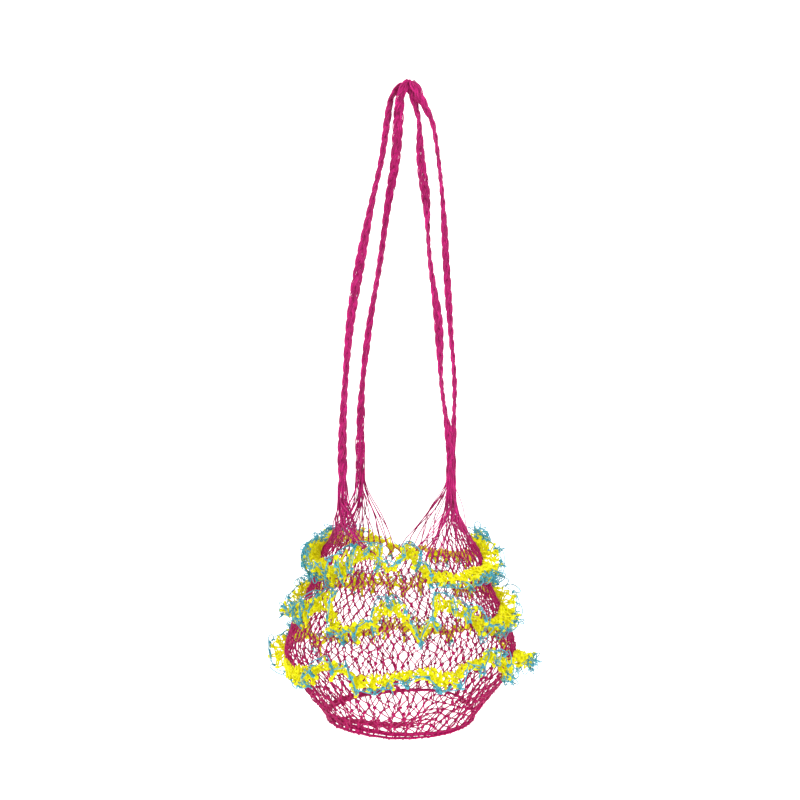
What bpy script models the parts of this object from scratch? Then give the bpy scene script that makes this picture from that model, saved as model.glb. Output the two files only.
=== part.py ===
"""A bilum string bag, hanging from one point by its two plaited straps.

Metres, +Z up, -Y is the near side. The origin is the underside of the straps' bend, where a hook carries
the bag. A knotted net wall runs from the mouth down to a thick knotted ring, a second net closes the
ring, three gathered frills with a looped edging go round the wall, and two straps end in fans of loose
strings that take hold of the mouth. The nets have larger and fewer meshes than a real bag's.
"""

import math
import random
from collections import namedtuple

import bmesh
import bpy
from mathutils import Vector

MM = 0.001

# The body: its centre line hangs a little to the left of the hook.
BODY_X = -0.0101
Ring = namedtuple("Ring", "height half_width half_depth")
BODY_RINGS = (
    Ring(-0.590, 0.080, 0.078),
    Ring(-0.628, 0.092, 0.090),
    Ring(-0.651, 0.102, 0.098),
    Ring(-0.674, 0.115, 0.107),
    Ring(-0.715, 0.1285, 0.117),
    Ring(-0.748, 0.1430, 0.126),
    Ring(-0.790, 0.1610, 0.137),
    Ring(-0.815, 0.1650, 0.141),
    Ring(-0.842, 0.1520, 0.137),
    Ring(-0.870, 0.1300, 0.124),
    Ring(-0.891, 0.1130, 0.111),
    Ring(-0.904, 0.1045, 0.1045),
)
MOUTH_Z = -0.649
MOUTH_DIP = 0.028  # how far the free mouth edge sinks at the middle of the front and of the back
SIDE_DIP = 0.008
WALL_END_Z = -0.9008
WALL_LENGTH = 0.272  # from the mouth to the ring, measured down the wall

# The net wall.
COLUMNS = 30
LEVELS = 8
SIDE_CROWDING = 0.18  # how far the columns slide together at the two sides, in radians
KNOT_HALF_WIDTH = 1.8 * MM
KNOT_HALF_HEIGHT = 2.3 * MM
NET_THICKNESS = 2.4 * MM
UNEVEN = 0.09  # how far a knot strays from its place, as a share of a column
SEED = 7

# The base: a knotted ring and the net inside it.
BASE_Z = -0.9038
BASE_RADIUS = 0.1045
BASE_RING_RADIUS = 3.9 * MM
BASE_RING_BUMP = 0.7 * MM
BASE_SAG = 0.015
BASE_LINES = 6
BASE_KNOT_HALF = 1.5 * MM
GATHER_ROW = 1  # the row of meshes drawn together into a dense strip
GATHER_HALF = 4.0 * MM

# The frills: each row is one place round the bag, counted from the right-hand side over the back.
# drop is how far the sewn edge lies below the frill's own height, lean is 0 straight out, 90 hanging
# down the wall and negative where the frill turns up.
Place = namedtuple("Place", "turn drop lean")
FRILLS = {
    "top": (
        -0.672,
        (
            Place(8, -5, -32), Place(28, 2, 20), Place(50, -3, 48), Place(72, 4, 10), Place(98, 8, 42),
            Place(124, 0, -8), Place(148, -2, 30), Place(170, -2, -34), Place(184, 0, 0),
            Place(197, 3, 56), Place(209, 2, 44), Place(224, -2, -14), Place(240, -4, -38),
            Place(254, 0, -25), Place(264, 8, 30), Place(273, 0, -5), Place(281, 12, 66),
            Place(296, 14, 72), Place(312, 14, 62), Place(328, 12, 40), Place(342, 6, 26),
            Place(354, 0, 2),
        ),
    ),
    "middle": (
        -0.741,
        (
            Place(2, 0, -12), Place(20, 2, 15), Place(45, 0, 40), Place(68, -4, 0), Place(92, 4, 38),
            Place(118, 2, 2), Place(143, 0, 35), Place(163, 4, 22), Place(182, 6, 50),
            Place(197, -1, 26), Place(211, -3, 34), Place(230, 8, 62), Place(244, 12, 70),
            Place(256, 2, 0), Place(263, -8, -46), Place(271, 4, 20), Place(280, 12, 74),
            Place(289, 4, 20), Place(299, -8, -30), Place(311, 2, 30), Place(322, 12, 62),
            Place(336, 6, 40), Place(350, 3, 16),
        ),
    ),
    "low": (
        -0.812,
        (
            Place(0, 1, 6), Place(18, 3, 20), Place(42, 0, -2), Place(70, 0, 36), Place(95, 4, 4),
            Place(120, 2, 34), Place(145, 0, -6), Place(164, 2, -30), Place(178, 2, -10),
            Place(192, 3, 42), Place(205, 3, 72), Place(222, 0, 70), Place(233, -2, -8),
            Place(245, -6, -18), Place(252, 6, 58), Place(259, 7, 74), Place(268, 0, 50),
            Place(279, 2, 66), Place(292, 1, 62), Place(304, -4, 26), Place(311, -8, -10),
            Place(322, 2, 44), Place(333, 3, 50), Place(347, 0, 10),
        ),
    ),
}
FRILL_STATIONS = 72
FRILL_WIDTH = 0.023
FRILL_THICKNESS = 2.0 * MM
FRILL_RIPPLE = 11.0  # degrees that the gathers swing the lean to either side
EDGING_SHORT = 6.0 * MM
EDGING_LONG = 11.0 * MM
EDGING_THICKNESS = 1.6 * MM
CLEARANCE = 0.35 * MM
EDGING_GAP = 0.8 * MM  # the edging clears the frill, whose ripples turn its edge face

# The straps: each leg is listed from the hook down. face is the turn of the flat plait, 0 where its
# broad side looks to the front and 90 where its edge does.
Step = namedtuple("Step", "x y z face")
STRAP_ROUTES = {
    "strap_front": (
        (
            Step(-0.0895, -0.076, -0.5750, -45), Step(-0.0905, -0.066, -0.5100, -20),
            Step(-0.0875, -0.054, -0.4300, 10), Step(-0.0805, -0.042, -0.3410, 15),
            Step(-0.0665, -0.030, -0.2520, 55), Step(-0.0500, -0.018, -0.1650, 80),
            Step(-0.0375, -0.010, -0.1060, 80), Step(-0.0295, -0.001, -0.0490, 75),
            Step(-0.0245, 0.003, -0.0190, 80), Step(-0.0192, 0.005, -0.0062, 85),
        ),
        Step(-0.0046, 0.0064, 0.0057, 90),
        (
            Step(0.0060, 0.005, -0.0062, 80), Step(0.0092, 0.003, -0.0190, 70),
            Step(0.0160, -0.002, -0.0490, 55), Step(0.0187, -0.010, -0.1060, 40),
            Step(0.0257, -0.018, -0.1650, 50), Step(0.0310, -0.030, -0.2520, 85),
            Step(0.0425, -0.042, -0.3410, 40), Step(0.0465, -0.054, -0.4300, 50),
            Step(0.0570, -0.066, -0.5100, 45), Step(0.0590, -0.074, -0.5650, 45),
        ),
    ),
    "strap_back": (
        (
            Step(-0.0715, 0.072, -0.5600, 45), Step(-0.0710, 0.064, -0.5100, 40),
            Step(-0.0675, 0.052, -0.4300, 55), Step(-0.0565, 0.040, -0.3410, 75),
            Step(-0.0410, 0.028, -0.2520, 80), Step(-0.0285, 0.016, -0.1650, 45),
            Step(-0.0180, 0.006, -0.1060, 20), Step(-0.0137, -0.003, -0.0490, 15),
            Step(-0.0110, -0.006, -0.0190, 40), Step(-0.0070, -0.0066, -0.0060, 70),
        ),
        Step(0.0030, -0.0074, 0.0057, 90),
        (
            Step(0.0158, -0.0066, -0.0040, 70), Step(0.0222, -0.005, -0.0170, 55),
            Step(0.0350, 0.001, -0.0490, 75), Step(0.0450, 0.006, -0.1060, 85),
            Step(0.0515, 0.016, -0.1650, 85), Step(0.0570, 0.028, -0.2520, 55),
            Step(0.0635, 0.040, -0.3410, 65), Step(0.0705, 0.052, -0.4300, 85),
            Step(0.0690, 0.064, -0.5100, 70), Step(0.0670, 0.070, -0.5550, 45),
        ),
    ),
}
PLAIT_HALF_WIDTH = 6.1 * MM
PLAIT_HALF_THICKNESS = 3.6 * MM
PLAIT_STEP = 7.6 * MM  # from one crossing of the plait to the next
PLAIT_LOBE = 0.17  # how far a crossing swells one side and draws in the other
PLAIT_SIDES = 6

# The fans of strings: the first and last net column that each strap end holds.
Fan = namedtuple("Fan", "strap at_start first last")
FANS = (
    Fan("strap_front", True, 15, 22),
    Fan("strap_front", False, 23, 29),
    Fan("strap_back", False, 0, 7),
    Fan("strap_back", True, 8, 14),
)
FAN_THICKNESS = 1.9 * MM
FAN_ROOT_PITCH = 1.65 * MM
FAN_ROOT_WIDTH = 1.25 * MM
FAN_END_WIDTH = 2.0 * MM
FAN_ROOT_LENGTH = 7.0 * MM
FAN_STEPS = 3
FAN_BELLY = 0.10  # how far a string bows out of its straight line, as a share of its length
FAN_TIP_LIFT = 0.6 * MM  # a string stops this far above the top knot that it holds

COLOURS = {
    "magenta": (0.62, 0.012, 0.18),
    "yellow": (0.83, 0.80, 0.01),
    "blue": (0.06, 0.37, 0.60),
}


def clear_scene():
    for old in list(bpy.data.objects):
        bpy.data.objects.remove(old, do_unlink=True)


def yarn(colour):
    """A matt yarn material in one of the three colours."""
    material = bpy.data.materials.new(f"{colour} yarn")
    material.use_nodes = True
    shader = material.node_tree.nodes["Principled BSDF"]
    shader.inputs["Base Color"].default_value = (*COLOURS[colour], 1.0)
    shader.inputs["Roughness"].default_value = 0.65
    shader.inputs["Metallic"].default_value = 0.0
    return material


def through(places, values, at, period=None):
    """The value at one place of a smooth curve through a table's rows; a period closes it on itself."""
    if period:
        places = [places[-1] - period, *places, places[0] + period, places[1] + period]
        values = [values[-1], *values, values[0], values[1]]
        at = at % period
    last = len(places) - 2
    k = next((i for i in range(last) if at < places[i + 1]), last)
    x0, x1 = places[k], places[k + 1]
    slope = (values[k + 1] - values[k]) / (x1 - x0)

    def tangent(i):
        if i == 0 or i == len(places) - 1:
            return slope
        return (values[i + 1] - values[i - 1]) / (places[i + 1] - places[i - 1])

    span = x1 - x0
    u = (at - x0) / span
    h = (2 * u**3 - 3 * u**2 + 1, u**3 - 2 * u**2 + u, 3 * u**2 - 2 * u**3, u**3 - u**2)
    return (
        h[0] * values[k] + h[1] * span * tangent(k) + h[2] * values[k + 1] + h[3] * span * tangent(k + 1)
    )


def body_radii(height):
    """Half width and half depth of the body at a height."""
    places = [-ring.height for ring in BODY_RINGS]
    widths = [ring.half_width for ring in BODY_RINGS]
    depths = [ring.half_depth for ring in BODY_RINGS]
    return through(places, widths, -height), through(places, depths, -height)


def mouth_height(turn):
    return MOUTH_Z - MOUTH_DIP * math.sin(turn) ** 6 - SIDE_DIP * math.cos(turn) ** 8


def smooth_wall(turn, down):
    """The wall's middle surface: turn in radians, down from 0 at the mouth to 1 at the base ring."""
    top = mouth_height(turn)
    height = top + down * (WALL_END_Z - top)
    half_width, half_depth = body_radii(height)
    return Vector((BODY_X + half_width * math.cos(turn), half_depth * math.sin(turn), height))


def wall_point(turn, down, out=0.0):
    """A point at a distance outwards from the wall's middle surface."""
    point = smooth_wall(turn, down)
    if out:
        step = 0.01
        round_it = smooth_wall(turn + step, down) - smooth_wall(turn - step, down)
        down_it = smooth_wall(turn, down + step) - smooth_wall(turn, down - step)
        point += out * down_it.cross(round_it).normalized()
    return point


def column_turn(column):
    """The angle of a net column, crowded towards the two sides."""
    share = column / COLUMNS
    return math.tau * share - SIDE_CROWDING * math.sin(2 * math.tau * share)


def new_object(name, bm, colour, solid=0.0):
    """Makes a bmesh an object; solid is the thickness that a sheet gets."""
    bmesh.ops.recalc_face_normals(bm, faces=bm.faces)
    mesh = bpy.data.meshes.new(name)
    bm.to_mesh(mesh)
    bm.free()
    obj = bpy.data.objects.new(name, mesh)
    bpy.context.scene.collection.objects.link(obj)
    obj.data.materials.append(YARNS[colour])
    if solid:
        thicken = obj.modifiers.new("Thickness", "SOLIDIFY")
        thicken.thickness = solid
        thicken.offset = 0.0
    return obj


def knot_place(column, level):
    """The angle and depth of a wall knot, a little uneven but for the first and last levels."""
    shift = 0.5 * (level % 2)
    edge = KNOT_HALF_HEIGHT / WALL_LENGTH
    down = edge + (1 - 2 * edge) * level / LEVELS
    turn = column_turn(column + shift)
    if 0 < level < LEVELS:
        stray = random.Random(SEED + 1000 * level + column % COLUMNS)
        turn += stray.uniform(-UNEVEN, UNEVEN) * math.tau / COLUMNS
        down += stray.uniform(-UNEVEN, UNEVEN) / LEVELS
    return turn, down


def knot_corners(column, level):
    """The four corners of a wall knot: right, top, left and bottom."""
    turn, down = knot_place(column, level)
    centre = smooth_wall(turn, down)
    radius = math.hypot(centre.x - BODY_X, centre.y)
    across = KNOT_HALF_WIDTH / radius
    along = KNOT_HALF_HEIGHT / WALL_LENGTH
    return (
        smooth_wall(turn + across, down),
        smooth_wall(turn, down - along),
        smooth_wall(turn - across, down),
        smooth_wall(turn, down + along),
    )


def make_net_wall():
    bm = bmesh.new()
    knots = {}
    for level in range(LEVELS + 1):
        for column in range(COLUMNS):
            corners = [bm.verts.new(p) for p in knot_corners(column, level)]
            bm.faces.new(corners)
            knots[column, level] = corners
    for level in range(LEVELS):
        for column in range(COLUMNS):
            right, _, left, bottom = knots[column, level]
            to_right = (column + level % 2) % COLUMNS
            to_left = (to_right - 1) % COLUMNS
            far_right, top, far_left, _ = knots[to_right, level + 1]
            bm.faces.new((right, bottom, far_left, top))
            far_right, top, far_left, _ = knots[to_left, level + 1]
            bm.faces.new((bottom, left, top, far_right))
    return new_object("net_wall", bm, "magenta", NET_THICKNESS)


def add_tube(bm, rings):
    """Joins rings of points, in order, into faces, and returns the rings of vertices."""
    loops = [[bm.verts.new(p) for p in ring] for ring in rings]
    sides = len(loops[0])
    for a, b in zip(loops, loops[1:]):
        for k in range(sides):
            bm.faces.new((a[k], a[(k + 1) % sides], b[(k + 1) % sides], b[k]))
    return loops


def make_base_ring():
    """The thick ring of knots, with a bump where each wall column comes down on it."""
    bm = bmesh.new()
    sides = 6
    rings = []
    for station in range(2 * COLUMNS):
        turn = column_turn(station / 2)
        out = Vector((math.cos(turn), math.sin(turn), 0.0))
        centre = Vector((BODY_X + BASE_RADIUS * out.x, BASE_RADIUS * out.y, BASE_Z))
        radius = BASE_RING_RADIUS - BASE_RING_BUMP * (station % 2)
        angles = [math.tau * k / sides + math.pi / 2 for k in range(sides)]
        rings.append(
            [centre + radius * (math.cos(a) * out + math.sin(a) * Vector((0, 0, 1))) for a in angles]
        )
    loops = add_tube(bm, rings)
    for k in range(sides):
        after = (k + 1) % sides
        bm.faces.new((loops[-1][k], loops[-1][after], loops[0][after], loops[0][k]))
    return new_object("base_ring", bm, "magenta")


def base_point(across, back):
    """A point of the sagging base, for two numbers from -1 to 1 that meet at its round rim."""
    rim = BASE_RADIUS - BASE_RING_RADIUS - CLEARANCE
    x = across * math.sqrt(1 - back * back / 2)
    y = back * math.sqrt(1 - across * across / 2)
    sag = BASE_SAG * (1 - min(1.0, x * x + y * y))
    return Vector((BODY_X + rim * x, rim * y, BASE_Z - sag))


def make_base_net():
    """Lines of knots both ways, ending on the ring, with one row of meshes drawn in and closed."""
    bm = bmesh.new()
    pitch = 2.0 / (BASE_LINES + 1)
    half = BASE_KNOT_HALF / BASE_RADIUS
    columns = [-1 + pitch * (k + 1) for k in range(BASE_LINES)]
    rows = list(columns)
    middle = 0.5 * (rows[GATHER_ROW] + rows[GATHER_ROW + 1])
    rows[GATHER_ROW] = middle - GATHER_HALF / BASE_RADIUS
    rows[GATHER_ROW + 1] = middle + GATHER_HALF / BASE_RADIUS
    knots = {}
    for i, across in enumerate(columns):
        for j, back in enumerate(rows):
            corners = [
                bm.verts.new(base_point(across + half * sx, back + half * sy))
                for sx, sy in ((1, -1), (1, 1), (-1, 1), (-1, -1))
            ]
            bm.faces.new(corners)
            knots[i, j] = corners
    last = BASE_LINES - 1
    for (i, j), (_, right_high, left_high, _) in knots.items():
        if i < last:
            beyond = knots[i + 1, j]
            bm.faces.new((right_high, knots[i, j][0], beyond[3], beyond[2]))
        if j < last:
            beyond = knots[i, j + 1]
            bm.faces.new((left_high, right_high, beyond[0], beyond[3]))
            if i < last and j == GATHER_ROW:
                bm.faces.new((right_high, knots[i + 1, j][2], knots[i + 1, j + 1][3], beyond[0]))
    for k in range(BASE_LINES):
        across, back = columns[k], rows[k]
        left, right, near, far = knots[0, k], knots[last, k], knots[k, 0], knots[k, last]
        ends = (
            (left[3], left[2], (-1, back + half), (-1, back - half)),
            (right[1], right[0], (1, back - half), (1, back + half)),
            (near[0], near[3], (across - half, -1), (across + half, -1)),
            (far[2], far[1], (across + half, 1), (across - half, 1)),
        )
        for first, second, *places in ends:
            tips = [bm.verts.new(base_point(*place)) for place in places]
            bm.faces.new((first, second, *tips))
    return new_object("base_net", bm, "magenta", NET_THICKNESS)


def frill_point(name, turn, reach, ripple):
    """A point of a frill: turn round the bag, reach in metres from its sewn edge."""
    height, places = FRILLS[name]
    degrees = math.degrees(turn)
    turns = [place.turn for place in places]
    drop = through(turns, [place.drop for place in places], degrees, 360) * MM
    lean = through(turns, [place.lean for place in places], degrees, 360)
    share = reach / FRILL_WIDTH
    lean = math.radians(lean + ripple * share)
    sewn = NET_THICKNESS / 2 + CLEARANCE + FRILL_THICKNESS / 2 * abs(math.sin(lean))
    top = mouth_height(turn)
    down = (top - (height - drop)) / (top - WALL_END_Z)
    return wall_point(
        turn, down + reach * math.sin(lean) / WALL_LENGTH, sewn + reach * math.cos(lean)
    )


def frill_strip(name, reaches):
    """A closed strip round the bag with one row of vertices for each reach function."""
    bm = bmesh.new()
    rows = []
    for station in range(FRILL_STATIONS):
        turn = math.tau * station / FRILL_STATIONS
        side = 1 if station % 2 else -1
        rows.append(
            [bm.verts.new(frill_point(name, turn, reach(side), side * FRILL_RIPPLE)) for reach in reaches]
        )
    for station, row in enumerate(rows):
        beyond = rows[(station + 1) % FRILL_STATIONS]
        for k in range(len(reaches) - 1):
            bm.faces.new((row[k], beyond[k], beyond[k + 1], row[k + 1]))
    return bm


def make_frill(name):
    bm = frill_strip(name, (lambda side: 0.0, lambda side: FRILL_WIDTH / 2, lambda side: FRILL_WIDTH))
    return new_object(f"frill_{name}", bm, "yellow", FRILL_THICKNESS)


def make_edging(name):
    """The looped edging: its outer line runs in and out from one loop to the next."""
    start = FRILL_WIDTH + EDGING_GAP
    bm = frill_strip(
        name,
        (lambda side: start, lambda side: start + (EDGING_LONG if side > 0 else EDGING_SHORT)),
    )
    return new_object(f"edging_{name}", bm, "blue", EDGING_THICKNESS)


def strap_path(name):
    """Points of a strap at even steps: place, direction and the direction of its broad side."""
    left, top, right = STRAP_ROUTES[name]
    steps = [*left, top, *right]
    lengths = [0.0]
    for a, b in zip(steps, steps[1:]):
        lengths.append(lengths[-1] + math.dist(a[:3], b[:3]))
    count = 2 * round(lengths[-1] / PLAIT_STEP / 2)

    def place(at):
        return Vector([through(lengths, [step[k] for step in steps], at) for k in range(3)])

    path = []
    for k in range(count + 1):
        at = lengths[-1] * k / count
        small = 1.0 * MM
        along = (place(min(at + small, lengths[-1])) - place(max(at - small, 0.0))).normalized()
        face = math.radians(through(lengths, [step.face for step in steps], at))
        broad = Vector((math.cos(face), math.sin(face), 0.0))
        broad = (broad - broad.dot(along) * along).normalized()
        path.append((place(at), along, broad))
    return path


def make_plait(name):
    """A flat three-strand plait as one body: each crossing swells one edge and one half of the face."""
    bm = bmesh.new()
    rings = []
    for k, (centre, along, broad) in enumerate(strap_path(name)):
        thin = along.cross(broad)
        swell = PLAIT_LOBE if k % 2 else -PLAIT_LOBE
        ring = []
        for side in range(PLAIT_SIDES):
            angle = math.tau * side / PLAIT_SIDES
            grow = 1 + swell * (1 if math.cos(angle) > 0 else -1)
            ring.append(
                centre
                + grow * PLAIT_HALF_WIDTH * math.cos(angle) * broad
                + grow * PLAIT_HALF_THICKNESS * math.sin(angle) * thin
            )
        rings.append(ring)
    loops = add_tube(bm, rings)
    bm.faces.new(loops[0])
    bm.faces.new(loops[-1])
    return new_object(name, bm, "magenta")


def make_fan(fan):
    """Strings spread from a strap's end to the tips of the net: one root strip and a strand for each tip."""
    path = strap_path(fan.strap)
    centre, along, broad = path[0] if fan.at_start else path[-1]
    along = -along if fan.at_start else along
    columns = range(fan.first, fan.last + 1)
    tips = [knot_corners(column, 0)[1] for column in columns]
    spread = (tips[-1] - tips[0]).normalized()
    if broad.dot(spread) < 0:
        broad = -broad
    bm = bmesh.new()
    root, fork = [], []
    for k in range(len(tips)):
        middle = centre + (k - 0.5 * (len(tips) - 1)) * FAN_ROOT_PITCH * broad
        for side in (-0.5, 0.5):
            point = middle + side * FAN_ROOT_WIDTH * broad
            root.append(bm.verts.new(point - FAN_ROOT_LENGTH * along))
            fork.append(bm.verts.new(point + PLAIT_HALF_THICKNESS * along))
    for k in range(len(root) - 1):
        bm.faces.new((root[k], root[k + 1], fork[k + 1], fork[k]))
    for k, tip in enumerate(tips):
        end = tip + Vector((0, 0, FAN_TIP_LIFT))
        turn, _ = knot_place(columns[k], 0)
        round_it = Vector((-math.sin(turn), math.cos(turn), 0.0))
        start = 0.5 * (fork[2 * k].co + fork[2 * k + 1].co)
        edge = (fork[2 * k], fork[2 * k + 1])
        for step in range(1, FAN_STEPS + 1):
            share = step / FAN_STEPS
            pull = start + share * (end - start)
            belly = FAN_BELLY * math.sin(math.pi * share) * (end - start).length
            pull += belly * (along - (end - start).normalized())
            across = broad.lerp(round_it, share).normalized()
            width = FAN_ROOT_WIDTH + share * (FAN_END_WIDTH - FAN_ROOT_WIDTH)
            after = [bm.verts.new(pull + side * width * across) for side in (-0.5, 0.5)]
            bm.faces.new((edge[0], edge[1], after[1], after[0]))
            edge = after
    return new_object(f"fan_{fan.first}", bm, "magenta", FAN_THICKNESS)


def apply_modifiers(obj):
    """Bakes an object's modifiers into its mesh."""
    graph = bpy.context.evaluated_depsgraph_get()
    mesh = bpy.data.meshes.new_from_object(obj.evaluated_get(graph))
    obj.modifiers.clear()
    obj.data = mesh


def make_strap(name):
    """A plait with its two fans joined on, as one body."""
    strap = make_plait(name)
    for fan in FANS:
        if fan.strap != name:
            continue
        strings = make_fan(fan)
        join = strap.modifiers.new("Join fan", "BOOLEAN")
        join.operation = "UNION"
        join.object = strings
        bpy.context.view_layer.update()
        apply_modifiers(strap)
        bpy.data.objects.remove(strings, do_unlink=True)
    return strap


clear_scene()
YARNS = {colour: yarn(colour) for colour in COLOURS}
make_net_wall()
make_base_ring()
make_base_net()
for frill_name in FRILLS:
    make_frill(frill_name)
    make_edging(frill_name)
for strap_name in STRAP_ROUTES:
    make_strap(strap_name)
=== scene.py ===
# %% [markdown]
# # A bilum string bag, string by string
#
# A bilum is one long job of knotting: a net body, a thick ring and a net for its base, gathered frills
# with looped edging, and two plaited straps that open into loose strings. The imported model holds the
# bag's true hanging shape as simple solids. This lesson lays real strings and knots over those solids,
# twists and dyes them, and lights the result. Everything is in metres, with +Z up and the near side at -Y.

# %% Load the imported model
import math
from collections import namedtuple

import bpy
import numpy as np
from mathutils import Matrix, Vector


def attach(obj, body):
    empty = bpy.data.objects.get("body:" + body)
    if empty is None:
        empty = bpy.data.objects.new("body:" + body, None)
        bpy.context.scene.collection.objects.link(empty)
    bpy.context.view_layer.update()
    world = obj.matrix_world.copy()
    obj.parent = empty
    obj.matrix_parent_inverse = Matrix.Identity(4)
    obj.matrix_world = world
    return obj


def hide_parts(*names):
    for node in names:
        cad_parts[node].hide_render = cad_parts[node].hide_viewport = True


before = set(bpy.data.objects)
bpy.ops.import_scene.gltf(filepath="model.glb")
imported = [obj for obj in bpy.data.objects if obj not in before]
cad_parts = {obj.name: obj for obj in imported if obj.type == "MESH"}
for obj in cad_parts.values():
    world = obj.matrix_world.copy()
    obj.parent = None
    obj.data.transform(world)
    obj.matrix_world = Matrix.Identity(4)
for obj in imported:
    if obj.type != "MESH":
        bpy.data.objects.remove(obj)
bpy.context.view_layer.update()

MM = 0.001
rng = np.random.default_rng(11)
print("solids:", ", ".join(sorted(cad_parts)))

# %% [markdown]
# ## The camera
#
# The camera stands level with the middle of the hanging bag and looks straight along +Y. Its distance and
# lens set how strongly the near straps and the far ones differ in size, so they are chosen first.

# %% Camera
CAMERA_PLACE = (-0.0111, -1.45, -0.452)
CAMERA_LENS = 45.18

bpy.ops.object.camera_add(location=CAMERA_PLACE, rotation=(math.pi / 2, 0.0, 0.0))
camera = bpy.context.object
camera.data.sensor_width = 36.0
camera.data.lens = CAMERA_LENS
bpy.context.scene.camera = camera
print("camera lens", camera.data.lens, "mm")

# %% [markdown]
# ## Smooth curves from short tables
#
# A hanging bag is set by a few measures: how wide it is at some heights, where a strap passes, how far a
# frill leans. Each is a short table with named columns, and `through` reads a smooth curve through its
# rows. What is only uneven, and has no places of its own, is a sum of a few waves. Both take whole arrays,
# because thousands of strings ask them at once.

# %% Tables, curves and waves
Wave = namedtuple("Wave", "size count start")


def rows(kind, *values):
    """A table: one named row for each tuple of values."""
    return [kind(*each) for each in values]


def through(places, values, at, period=None):
    """Values of a smooth curve through a table's rows; a period closes the curve on itself."""
    places, values, at = (np.asarray(each, float) for each in (places, values, at))
    if period:
        at = at % period
        places = np.concatenate([places[-1:] - period, places, places[:2] + period])
        values = np.concatenate([values[-1:], values, values[:2]])
    slopes = np.diff(values) / np.diff(places)
    inner = (values[2:] - values[:-2]) / (places[2:] - places[:-2])
    tangents = np.concatenate([slopes[:1], inner, slopes[-1:]])
    row = np.clip(np.searchsorted(places, at, side="right") - 1, 0, len(places) - 2)
    span = places[row + 1] - places[row]
    u = (at - places[row]) / span
    return (
        (2 * u**3 - 3 * u**2 + 1) * values[row]
        + (u**3 - 2 * u**2 + u) * span * tangents[row]
        + (3 * u**2 - 2 * u**3) * values[row + 1]
        + (u**3 - u**2) * span * tangents[row + 1]
    )


def waves(table, at, shift=1.0):
    """The sum of a table's waves; the shift moves each of them along by its own start."""
    return sum(wave.size * np.sin(wave.count * at + wave.start * shift) for wave in table)


def eased(share):
    """A share from 0 to 1 that starts and ends gently."""
    return 3 * share**2 - 2 * share**3


def unit(vectors):
    return vectors / np.linalg.norm(vectors, axis=-1, keepdims=True)


print("halfway between rows:", through([0, 1, 2], [0, 1, 0], 0.5))

# %% [markdown]
# ## The shape of the body
#
# The body is a tube of netting. It is narrow at the mouth, widest where the goods would press, and drawn
# in again to the base ring. The straps pull the mouth up at its two sides, so its free edge sinks at the
# front and the back. `wall_point` gives any point on or off that surface from three numbers: the turn
# round the bag, the share of the way down from the mouth to the ring, and the distance outwards. Nets,
# frills and edgings are all laid out in those three numbers, so they follow one another exactly.

# %% Body surface
BODY_X = -0.0101
Ring = namedtuple("Ring", "height half_width half_depth")
BODY_RINGS = (
    Ring(-0.590, 0.080, 0.078),
    Ring(-0.628, 0.092, 0.090),
    Ring(-0.651, 0.102, 0.098),
    Ring(-0.674, 0.115, 0.107),
    Ring(-0.715, 0.1285, 0.117),
    Ring(-0.748, 0.1430, 0.126),
    Ring(-0.790, 0.1610, 0.137),
    Ring(-0.815, 0.1650, 0.141),
    Ring(-0.842, 0.1520, 0.137),
    Ring(-0.870, 0.1300, 0.124),
    Ring(-0.891, 0.1130, 0.111),
    Ring(-0.904, 0.1045, 0.1045),
)
MOUTH_Z = -0.649
MOUTH_DIP = 0.028
SIDE_DIP = 0.008
WALL_END_Z = -0.9008
WALL_LENGTH = 0.272


def mouth_height(turn):
    return MOUTH_Z - MOUTH_DIP * np.sin(turn) ** 6 - SIDE_DIP * np.cos(turn) ** 8


def smooth_wall(turn, down):
    """The wall's middle surface: turn in radians, down from 0 at the mouth to 1 at the ring."""
    top = mouth_height(turn)
    height = top + down * (WALL_END_Z - top)
    places = [-ring.height for ring in BODY_RINGS]
    half_width = through(places, [ring.half_width for ring in BODY_RINGS], -height)
    half_depth = through(places, [ring.half_depth for ring in BODY_RINGS], -height)
    return np.stack([BODY_X + half_width * np.cos(turn), half_depth * np.sin(turn), height], axis=-1)


def wall_point(turn, down, out=0.0):
    """Points at a distance outwards from the wall's middle surface."""
    turn, down, out = np.broadcast_arrays(turn, down, out)
    step = 0.01
    round_it = smooth_wall(turn + step, down) - smooth_wall(turn - step, down)
    down_it = smooth_wall(turn, down + step) - smooth_wall(turn, down - step)
    return smooth_wall(turn, down) + out[..., None] * unit(np.cross(down_it, round_it))


print("widest point of the wall:", np.round(wall_point(0.0, 0.64), 4))

# %% [markdown]
# ## String as a mesh
#
# A string is a thin round tube. Every piece of this bag is hundreds or thousands of them, far too many
# for one object each, so `lay_strings` sweeps a small ring of points along all the paths at once. One
# side direction is carried down each path, which keeps the tube from pinching or flipping. The UV map
# runs along the string in metres and once round it, and the twist of the yarn is drawn in it later.

# %% Tubes along paths
Mesh = namedtuple("Mesh", "points faces uvs")


def carried_sides(along):
    """A side direction for each point of each path, carried on from the one before."""
    upright = np.abs(along[:, :1, 2:]) > 0.9
    helper = np.where(upright, (1.0, 0.0, 0.0), (0.0, 0.0, 1.0))[:, 0]
    sides = [unit(np.cross(along[:, 0], helper))]
    for step in range(1, along.shape[1]):
        ahead = along[:, step]
        last = sides[-1]
        sides.append(unit(last - np.sum(last * ahead, axis=1, keepdims=True) * ahead))
    return np.stack(sides, axis=1)


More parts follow.
